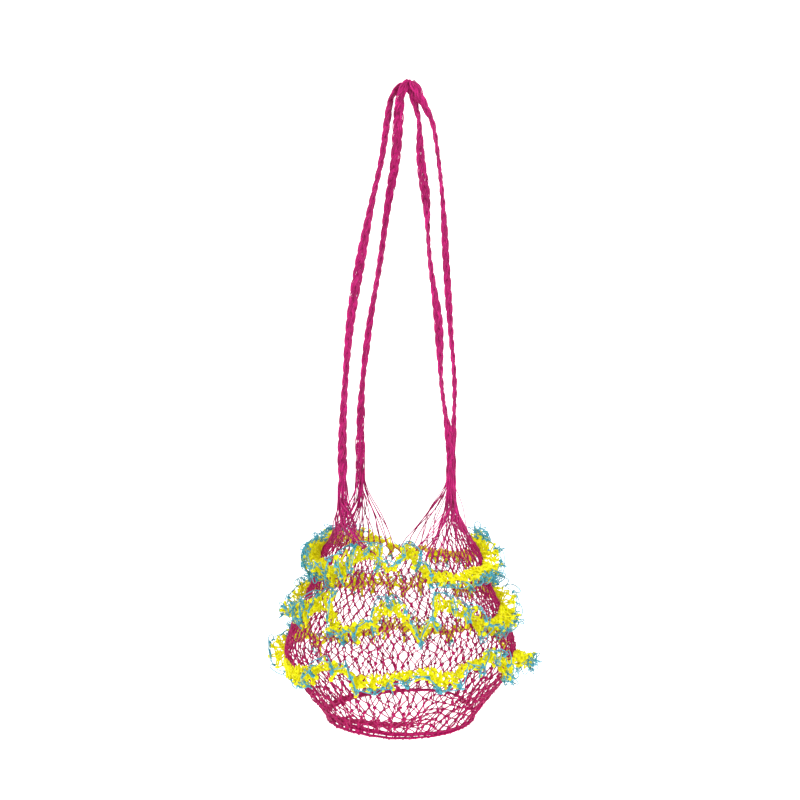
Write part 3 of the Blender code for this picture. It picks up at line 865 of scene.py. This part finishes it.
# %% Strap twists
Twist = namedtuple("Twist", "height face")
STRAP_TWISTS = {
    "strap_front": (
        rows(
            Twist, (-0.575, 20), (-0.532, 43), (-0.499, 50), (-0.450, 56), (-0.420, 60), (-0.382, 44),
            (-0.310, 38), (-0.245, 38), (-0.210, 46), (-0.176, 59), (-0.140, 70), (-0.087, 63),
            (-0.033, 57), (-0.010, 70),
        ),
        rows(
            Twist, (-0.006, 15), (-0.020, 36), (-0.051, 70), (-0.087, 46), (-0.123, 36), (-0.158, 36),
            (-0.193, 62), (-0.228, 79), (-0.263, 64), (-0.297, 51), (-0.331, 29), (-0.365, 37),
            (-0.399, 63), (-0.433, 79), (-0.466, 75), (-0.499, 40), (-0.565, 20),
        ),
    ),
    "strap_back": (
        rows(
            Twist, (-0.560, 0), (-0.521, 5), (-0.503, 20), (-0.467, 41), (-0.420, 62), (-0.378, 39),
            (-0.325, 57), (-0.290, 71), (-0.237, 64), (-0.203, 61), (-0.169, 47), (-0.135, 24),
            (-0.087, 12), (-0.040, 5), (-0.010, 40),
        ),
        rows(
            Twist, (-0.010, 10), (-0.034, 40), (-0.067, 68), (-0.118, 78), (-0.169, 70), (-0.203, 53),
            (-0.237, 43), (-0.290, 33), (-0.314, 40), (-0.342, 58), (-0.399, 71), (-0.430, 66),
            (-0.466, 75), (-0.503, 45), (-0.555, 20),
        ),
    ),
}
STRAP_SAMPLES = 310


def strap_line(name):
    """Even points along a strap, with its direction and the directions of its broad and thin sides."""
    left, top, right = STRAP_ROUTES[name]
    steps = np.array([*left, top, *right])
    lengths = np.concatenate([[0], np.cumsum(np.linalg.norm(np.diff(steps, axis=0), axis=1))])
    up, down = (np.array(leg) for leg in STRAP_TWISTS[name])
    peak = len(left)
    twist_at = np.concatenate([
        np.interp(up[:, 0], steps[:peak, 2], lengths[:peak]),
        np.interp(-down[:, 0], -steps[peak + 1:, 2], lengths[peak + 1:]),
    ])
    at = np.linspace(0, lengths[-1], STRAP_SAMPLES)
    place = np.stack([through(lengths, steps[:, k], at) for k in range(3)], axis=-1)
    along = unit(np.gradient(place, axis=0))
    face = np.radians(through(twist_at, np.concatenate([up[:, 1], down[:, 1]]), at))
    broad = np.stack([np.cos(face), np.sin(face), 0 * face], axis=-1)
    broad = unit(broad - np.sum(broad * along, axis=1, keepdims=True) * along)
    return at, place, along, broad, np.cross(along, broad)


for name in STRAP_ROUTES:
    print(f"{name}: {strap_line(name)[0][-1]:.2f} m from fan to fan")

# %% [markdown]
# ## The plaits
#
# Each strap is one set of long strings, plaited flat in three bundles over the whole way. The plait is the
# old formula: a bundle swings from edge to edge and dips twice as often, a third of a turn behind the
# bundle before it. A bundle is a core of a few strings with more wound round them. Near the two ends the
# plait goes slack: the bundles lie side by side and swell before their strings part.

# %% Plaited strings
BUNDLES = 3
PLAIT_TURN = 0.0565
PLAIT_SWING = 4.6 * MM
PLAIT_FLAT = 0.08
PLAIT_DIP = 1.3 * MM
PLAIT_TILT = 0.35
PLAIT_WAVES = rows(Wave, (0.10, 1 / 0.037, 0), (0.07, 1 / 0.061, 2))
LOOSE_GAP = 2.8 * MM
LOOSE_SWELL = 0.3
Layer = namedtuple("Layer", "half_width half_height strings")
BUNDLE_LAYERS = rows(Layer, (1.2 * MM, 0.35 * MM, 3), (2.95 * MM, 1.1 * MM, 8))
BUNDLE_TWIST = 0.170
LAYER_TURN = 0.13
SPIN_STRAY = 0.5
Fan = namedtuple("Fan", "first columns let_go loose")
FANS = {
    "strap_front": rows(Fan, (40, 20, (0.0, 0.35), 0.040), (60, 20, (0.0, 0.30), 0.060)),
    "strap_back": rows(Fan, (21, 19, (0.0, 0.12), 0.110), (0, 21, (0.0, 0.15), 0.080)),
}


def plaited_paths(name):
    """The strings of one plait, from its left end over the hook to its right end."""
    at, place, along, broad, thin = strap_line(name)
    first, last = FANS[name]
    held = eased(np.clip(np.minimum(at / first.loose, (at[-1] - at) / last.loose), 0, 1))
    uneven = 1 + waves(PLAIT_WAVES, at)
    swell = 1 + LOOSE_SWELL * (1 - held)
    paths = []
    for bundle in range(BUNDLES):
        phase = math.tau * (at / PLAIT_TURN + bundle / BUNDLES)
        weave = np.sin(phase) + PLAIT_FLAT * np.sin(3 * phase)
        sideways = held * PLAIT_SWING * uneven * weave + (1 - held) * LOOSE_GAP * (bundle - 1)
        upwards = held * PLAIT_DIP * np.sin(2 * phase)
        tilt = held * PLAIT_TILT * np.sin(phase) * np.sin(2 * phase)
        for order, layer in enumerate(BUNDLE_LAYERS):
            for k in range(layer.strings):
                share = k / layer.strings + LAYER_TURN * order + at / BUNDLE_TWIST
                spin = math.tau * share + rng.uniform(0, SPIN_STRAY)
                from_middle = uneven * swell * layer.half_width * np.cos(spin)
                offset_broad = sideways + from_middle
                offset_thin = upwards + swell * layer.half_height * np.sin(spin) - tilt * from_middle
                paths.append(place + offset_broad[:, None] * broad + offset_thin[:, None] * thin)
    return np.array(paths)


print("each strap holds", BUNDLES * sum(layer.strings for layer in BUNDLE_LAYERS), "strings")

# %% [markdown]
# ## The fans
#
# Where the plait ends its strings let go of one another, in groups of three. Each goes down and outwards
# to its own knot, some tight, some slack, one in each fan straying far. A string is bent like a drawn
# curve with two handles: one in the plait's direction and one along the wall at its knot. The fans' table
# names the first net column that a fan holds and how many, when its groups let go, and the length over
# which the plait goes slack.

# %% Fans of loose strings
FAN_STEPS = 9
LANDING = 1.4
GROUP = 3
LATE = 0.06
SPREADING = 1.5
GROUP_STRAY = 4.5 * MM
STRING_STRAY = 2.2 * MM
FAR_STRAY = 11 * MM
FAN_WAVE = 2.0 * MM


def fan_paths(start, axis, knots, arriving, let_go):
    """Curves from the plait's end to the knots, without their first point."""
    count = len(start)
    group = np.arange(count) // GROUP
    groups = group[-1] + 1
    share = np.linspace(0, 1, FAN_STEPS + 1)[1:, None, None]
    length = np.linalg.norm(knots - start, axis=1)[:, None]
    let_go = (rng.uniform(*let_go, groups)[group] + rng.uniform(0, LATE, count))[:, None]
    turned = eased(np.clip((share - let_go) / (1 - let_go), 0, 1))
    straight = start + axis * length * share
    landing = knots - unit(arriving + LANDING * (knots - start) / length) * length * (1 - share)
    stray = rng.normal(0, GROUP_STRAY, (groups, 3))[group] + rng.normal(0, STRING_STRAY, (count, 3))
    far = rng.integers(count)
    stray[far] += FAR_STRAY * unit(knots[far] - knots.mean(axis=0))
    middle = np.array([knots[group == each].mean(axis=0) for each in range(groups)])[group]
    landing = landing + (1 - share**SPREADING) * (middle - knots)
    wave = rng.normal(0, FAN_WAVE, (count, 3))
    path = (1 - turned) * straight + turned * landing + np.sin(math.pi * share) ** 2 * stray
    path = path + np.sin(math.pi * share) * np.sin(3 * math.pi * share) * wave
    return np.swapaxes(path, 0, 1)


def fan_knots(fan, count):
    """The top knots that a fan holds, each taken by one or two strings."""
    column = (fan.first + np.arange(count) * fan.columns // count) % COLUMNS
    turn, down = knot_turn[0, column], knot_down[0, column]
    top = wall_point(turn, down)
    return top, unit(wall_point(turn, down + 0.05) - top)


print("groups in a fan:", BUNDLES * sum(layer.strings for layer in BUNDLE_LAYERS) // GROUP)

# %% [markdown]
# ## Whole straps
#
# A real string doesn't stop where the plait does, so each one here is a single tube from a knot on one
# side of the mouth, through its fan, the plait and the other fan, to a knot on the other side. The strings
# are matched to the knots in order across the fan, with a little chance, so that few of them cross.

# %% Straps
STRAP_STRING = 0.78 * MM
FAN_STRING = 0.74 * MM
ORDER_STRAY = 0.25
AXIS_STEPS = 6


def make_strap(name):
    """One strap: its plait, with a fan at each end."""
    plait = plaited_paths(name)
    ends = []
    for fan, end, before in zip(FANS[name], (0, -1), (AXIS_STEPS, -1 - AXIS_STEPS)):
        tips = plait[:, end]
        axis = unit(plait[:, end].mean(axis=0) - plait[:, before].mean(axis=0))
        knots, arriving = fan_knots(fan, len(plait))
        order = np.argsort(tips @ (knots[-1] - knots[0]) + rng.normal(0, ORDER_STRAY, len(tips)) * MM)
        paths = np.empty((len(plait), FAN_STEPS, 3))
        paths[order] = fan_paths(tips[order], axis, knots, arriving, fan.let_go)
        ends.append(paths)
    whole = np.concatenate([ends[0][:, ::-1], plait, ends[1]], axis=1)
    thick = np.full(whole.shape[1], STRAP_STRING)
    thick[:FAN_STEPS] = thick[-FAN_STEPS:] = FAN_STRING
    return as_object(f"{name}_strings", lay_strings(whole, thick[:, None, None], corners=4))


straps = {name: make_strap(name) for name in STRAP_ROUTES}

# %% [markdown]
# ## Small helpers for shader nodes
#
# A material here is a sum of simple steps: a wave, a noise, a share of each. Four helpers add a node, set
# or link its inputs and hand back its output, so that the sums below read like sums.

# %% Node helpers
def input_socket(group, name, value):
    kind = "NodeSocketColor" if isinstance(value, tuple) else "NodeSocketFloat"
    made = group.interface.new_socket(name, in_out="INPUT", socket_type=kind)
    made.default_value = value


def math_node(group, operation, first, second):
    node = group.nodes.new("ShaderNodeMath")
    node.operation = operation
    for socket, value in zip(node.inputs, (first, second)):
        if isinstance(value, (int, float)):
            socket.default_value = value
        else:
            group.links.new(value, socket)
    return node.outputs[0]


def mixed(group, factor, first, second):
    node = group.nodes.new("ShaderNodeMix")
    node.data_type = "RGBA"
    for socket, value in ((node.inputs[0], factor), (node.inputs[6], first), (node.inputs[7], second)):
        group.links.new(value, socket)
    return node.outputs[2]


def noise(group, vector, scale, detail):
    node = group.nodes.new("ShaderNodeTexNoise")
    node.inputs["Scale"].default_value = scale
    node.inputs["Detail"].default_value = detail
    group.links.new(vector, node.inputs["Vector"])
    return node.outputs["Fac"]


# %% [markdown]
# ## Twisted yarn
#
# Every string of the bag is the same kind of yarn in its own dye, so all the finishes share one node
# group. It draws the plies as slanting stripes in the string's own UV map, with painted shade in the
# grooves between them, adds fine fibres, dye that is uneven from place to place and streaks along each
# string, and puts out a colour, a roughness and a height. The shader itself stays in each material.

# %% Twisted yarn group
PLIES = 3.0
PLY_PITCH = 0.0022
PAINTED_GROOVE_SHADE = 0.55
FIBRE_SCALE = 2600.0
DYE_SCALE = 80.0
STREAK_SCALE = 34.0
DYE_SHARE = 0.5
STREAK_SHARE = 2.2
DYE_MIDDLE = 1.18
FIBRE_SHARE = 0.2
FIBRE_ROUGHNESS = 0.3
LEAST_ROUGHNESS = 0.38
FIBRE_HEIGHT = 0.4
OUTPUTS = (("Colour", "NodeSocketColor"), ("Roughness", "NodeSocketFloat"), ("Height", "NodeSocketFloat"))


def make_yarn_group():
    """Colour, roughness and height of a plied yarn from two colours, the deep one also painted shade in the
    grooves.
    """
    group = bpy.data.node_groups.new("Twisted yarn", "ShaderNodeTree")
    input_socket(group, "Light dye", (0.8, 0.1, 0.3, 1.0))
    input_socket(group, "Deep dye and groove shade", (0.4, 0.0, 0.1, 1.0))
    input_socket(group, "Ply pitch", PLY_PITCH)
    input_socket(group, "Painted groove shade", PAINTED_GROOVE_SHADE)
    for name, kind in OUTPUTS:
        group.interface.new_socket(name, in_out="OUTPUT", socket_type=kind)
    given = group.nodes.new("NodeGroupInput").outputs
    out = group.nodes.new("NodeGroupOutput").inputs

    def calc(operation, first, second=0.0):
        return math_node(group, operation, first, second)

    uv = group.nodes.new("ShaderNodeUVMap")
    uv.uv_map = "string"
    split = group.nodes.new("ShaderNodeSeparateXYZ")
    group.links.new(uv.outputs[0], split.inputs[0])
    winds = calc("DIVIDE", split.outputs[0], given["Ply pitch"])
    plies = calc("MULTIPLY", split.outputs[1], PLIES)
    phase = calc("MULTIPLY", calc("ADD", winds, plies), math.tau)
    ply = calc("ADD", calc("MULTIPLY", calc("SINE", phase), 0.5), 0.5)
    place = group.nodes.new("ShaderNodeTexCoord").outputs["Object"]
    fibre = noise(group, place, FIBRE_SCALE, 2.0)
    dye = noise(group, place, DYE_SCALE, 3.0)
    along = group.nodes.new("ShaderNodeCombineXYZ")
    group.links.new(split.outputs[0], along.inputs[0])
    streak = noise(group, along.outputs[0], STREAK_SCALE, 2.0)
    # Painted shade: the grooves between the plies take the deep colour, as if shaded.
    shade = calc("MULTIPLY", calc("SUBTRACT", 1.0, ply), given["Painted groove shade"])
    uneven = calc("ADD", calc("MULTIPLY", dye, DYE_SHARE), calc("MULTIPLY", streak, STREAK_SHARE))
    worn = calc("SUBTRACT", uneven, DYE_MIDDLE)
    # The deep colour's share is painted groove shade plus uneven dye and fibres.
    deep = calc("ADD", calc("ADD", shade, worn), calc("MULTIPLY", fibre, FIBRE_SHARE))
    deep = calc("MAXIMUM", calc("MINIMUM", deep, 1.0), 0.0)
    group.links.new(mixed(group, deep, given["Light dye"], given["Deep dye and groove shade"]), out["Colour"])
    rough = calc("ADD", calc("MULTIPLY", fibre, FIBRE_ROUGHNESS), LEAST_ROUGHNESS)
    group.links.new(rough, out["Roughness"])
    group.links.new(calc("ADD", ply, calc("MULTIPLY", fibre, FIBRE_HEIGHT)), out["Height"])
    return group


YARN_GROUP = make_yarn_group()
print("yarn group nodes:", len(YARN_GROUP.nodes))

# %% [markdown]
# ## The dyes
#
# There are three dyes: magenta, a neon yellow and blue. Each is a light colour for the top of a ply and a
# deep one that is painted shade in its grooves and also deepens the uneven patches of dye. Magenta comes
# twice: the nets take a darker copy, painted shade for their dense strings and knots that shade one
# another. The yellow glows faintly, painted light that lifts its shaded parts.

# %% Yarn materials
BUMP_STRENGTH = 0.8
BUMP_DISTANCE = 0.4 * MM


def yarn_material(name, light, deep, sheen, painted_glow=0.0):
    """A twisted yarn in one dye; painted_glow makes it glow faintly, painted light though it is no lamp."""
    material = bpy.data.materials.new(name)
    material.use_nodes = True
    nodes, links = material.node_tree.nodes, material.node_tree.links
    shader = nodes["Principled BSDF"]
    yarn = nodes.new("ShaderNodeGroup")
    yarn.node_tree = YARN_GROUP
    yarn.inputs["Light dye"].default_value = (*light, 1.0)
    yarn.inputs["Deep dye and groove shade"].default_value = (*deep, 1.0)
    bump = nodes.new("ShaderNodeBump")
    bump.inputs["Strength"].default_value = BUMP_STRENGTH
    bump.inputs["Distance"].default_value = BUMP_DISTANCE
    links.new(yarn.outputs["Colour"], shader.inputs["Base Color"])
    links.new(yarn.outputs["Roughness"], shader.inputs["Roughness"])
    links.new(yarn.outputs["Height"], bump.inputs["Height"])
    links.new(bump.outputs["Normal"], shader.inputs["Normal"])
    # Painted light: the yarn's own colour is also emitted, a glow though it is no lamp.
    links.new(yarn.outputs["Colour"], shader.inputs["Emission Color"])
    shader.inputs["Emission Strength"].default_value = painted_glow
    shader.inputs["Sheen Weight"].default_value = sheen
    shader.inputs["Sheen Roughness"].default_value = 0.4
    shader.inputs["Specular IOR Level"].default_value = 0.2
    return material


MAGENTA = yarn_material("magenta yarn", (0.80, 0.016, 0.27), (0.16, 0.0, 0.035), 0.06)
# A darker copy of magenta for the nets: painted shade for their dense strings and knots.
MAGENTA_SHADED = yarn_material("magenta yarn shaded darker", (0.60, 0.006, 0.155), (0.26, 0.0, 0.058), 0.02)
# The yellow's glow is painted light that lifts its shaded parts.
YELLOW = yarn_material("yellow yarn", (0.84, 0.88, 0.0), (0.72, 0.60, 0.0), 0.0, painted_glow=0.10)
BLUE = yarn_material("blue yarn", (0.12, 0.58, 0.74), (0.03, 0.20, 0.28), 0.03)
print("yarns:", ", ".join(each.name for each in (MAGENTA, MAGENTA_SHADED, YELLOW, BLUE)))

# %% [markdown]
# ## What each piece is to the model
#
# Every piece rides on the one body, takes its yarn and hides the solid that it covers.

# %% Dress the solids
DRESSED = [
    (net_wall, MAGENTA_SHADED, "magenta", "net_wall"),
    (wall_knots, MAGENTA_SHADED, "magenta", "net_wall"),
    (base_ring, MAGENTA_SHADED, "magenta", "base_ring"),
    (base_net, MAGENTA_SHADED, "magenta", "base_net"),
]
DRESSED += [(straps[name], MAGENTA, "magenta", name) for name in straps]
DRESSED += [(frills[name], YELLOW, "yellow", f"frill_{name}") for name in frills]
DRESSED += [(frill_knots[name], YELLOW, "yellow", f"frill_{name}") for name in frills]
DRESSED += [(edgings[name], BLUE, "blue", f"edging_{name}") for name in edgings]
for piece, material, slot, node in DRESSED:
    piece.data.materials.append(material)
    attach(piece, "root")
    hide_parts(node)
print(len(DRESSED), "pieces ride on the bag")

# %% [markdown]
# ## The nets
#
# The body net, the base net and the frills are sheets of netting, each a strip that the maker netted
# and mostly holes. The wall's strip is between the mean way round the body and the widest one, and as
# long as the way down it. The base is as wide as its ring. A frill's strip is about three times the way
# round the body, because it is gathered, and so dense that it is nearly full. Here they are only counted.

print("sheets:", 2 + len(frills))

# %% [markdown]
# ## The floor
#
# The stage is a pale sweep: a plane whose far edge is drawn up into a wall behind the bag, with the bend
# rounded, so that there is no edge to see. It glows evenly, as paper does that is lit from behind.

# %% Stage
FLOOR_SIZE = 9.0
FLOOR_Z = -1.7
SWEEP_RISE = 6.0
SWEEP_BEND = 1.5
PAPER_GLOW = 0.65

bpy.ops.object.select_all(action="DESELECT")
bpy.ops.mesh.primitive_plane_add(size=FLOOR_SIZE, location=(0.0, 0.0, FLOOR_Z))
floor = bpy.context.object
floor.name = "floor"
bpy.ops.object.mode_set(mode="EDIT")
bpy.ops.mesh.select_all(action="DESELECT")
bpy.ops.object.mode_set(mode="OBJECT")
for edge in floor.data.edges:
    edge.select = all(floor.data.vertices[k].co.y > 0 for k in edge.vertices)
bpy.ops.object.mode_set(mode="EDIT")
bpy.ops.mesh.select_mode(type="EDGE")
bpy.ops.mesh.extrude_region_move(TRANSFORM_OT_translate={"value": (0.0, 0.0, SWEEP_RISE)})
bpy.ops.object.mode_set(mode="OBJECT")
sweep = floor.modifiers.new("Sweep", "BEVEL")
sweep.width = SWEEP_BEND
sweep.segments = 12
bpy.ops.object.modifier_apply(modifier=sweep.name)
bpy.ops.object.shade_smooth()
paper = bpy.data.materials.new("pale paper")
paper.use_nodes = True
paper_shader = paper.node_tree.nodes["Principled BSDF"]
paper_shader.inputs["Base Color"].default_value = (0.92, 0.92, 0.92, 1.0)
paper_shader.inputs["Roughness"].default_value = 0.9
paper_shader.inputs["Emission Color"].default_value = (1.0, 1.0, 1.0, 1.0)
paper_shader.inputs["Emission Strength"].default_value = PAPER_GLOW
floor.data.materials.append(paper)
print("faces in the sweep:", len(floor.data.polygons))

# %% [markdown]
# ## The light
#
# Thin strings shade one another, so the light comes from all round: a large soft lamp on each side in
# front, one above and behind, a weak one behind the camera, and a white sky that fills the shadows.

# %% Lights
Lamp = namedtuple("Lamp", "place aim size power")
LAMPS = (
    Lamp((-1.6, -2.2, 0.9), (0.0, 0.0, -0.5), 1.6, 44.0),
    Lamp((1.9, -1.7, 0.3), (0.0, 0.0, -0.6), 1.6, 30.0),
    Lamp((0.0, 0.6, 1.8), (0.0, 0.0, -0.6), 1.6, 24.0),
    Lamp((0.4, -2.6, -0.5), (0.0, 0.0, -0.6), 2.4, 8.0),
)
SKY = 0.8

for lamp in LAMPS:
    bpy.ops.object.light_add(type="AREA", location=lamp.place)
    light = bpy.context.object
    light.data.shape = "DISK"
    light.data.size = lamp.size
    light.data.energy = lamp.power
    aim = Vector(lamp.aim) - Vector(lamp.place)
    light.rotation_euler = aim.to_track_quat("-Z", "Y").to_euler()
world = bpy.data.worlds.new("studio")
bpy.context.scene.world = world
world.use_nodes = True
background = world.node_tree.nodes["Background"]
background.inputs["Color"].default_value = (1.0, 1.0, 1.0, 1.0)
background.inputs["Strength"].default_value = SKY
bpy.context.scene.view_settings.view_transform = "Standard"
print("lamps:", len(LAMPS))

# %% [markdown]
# ## Last update
#
# The view layer is brought up to date. The dressed bag may stand only a little proud of
# its solids.

# %% Update the view layer
bpy.context.view_layer.update()
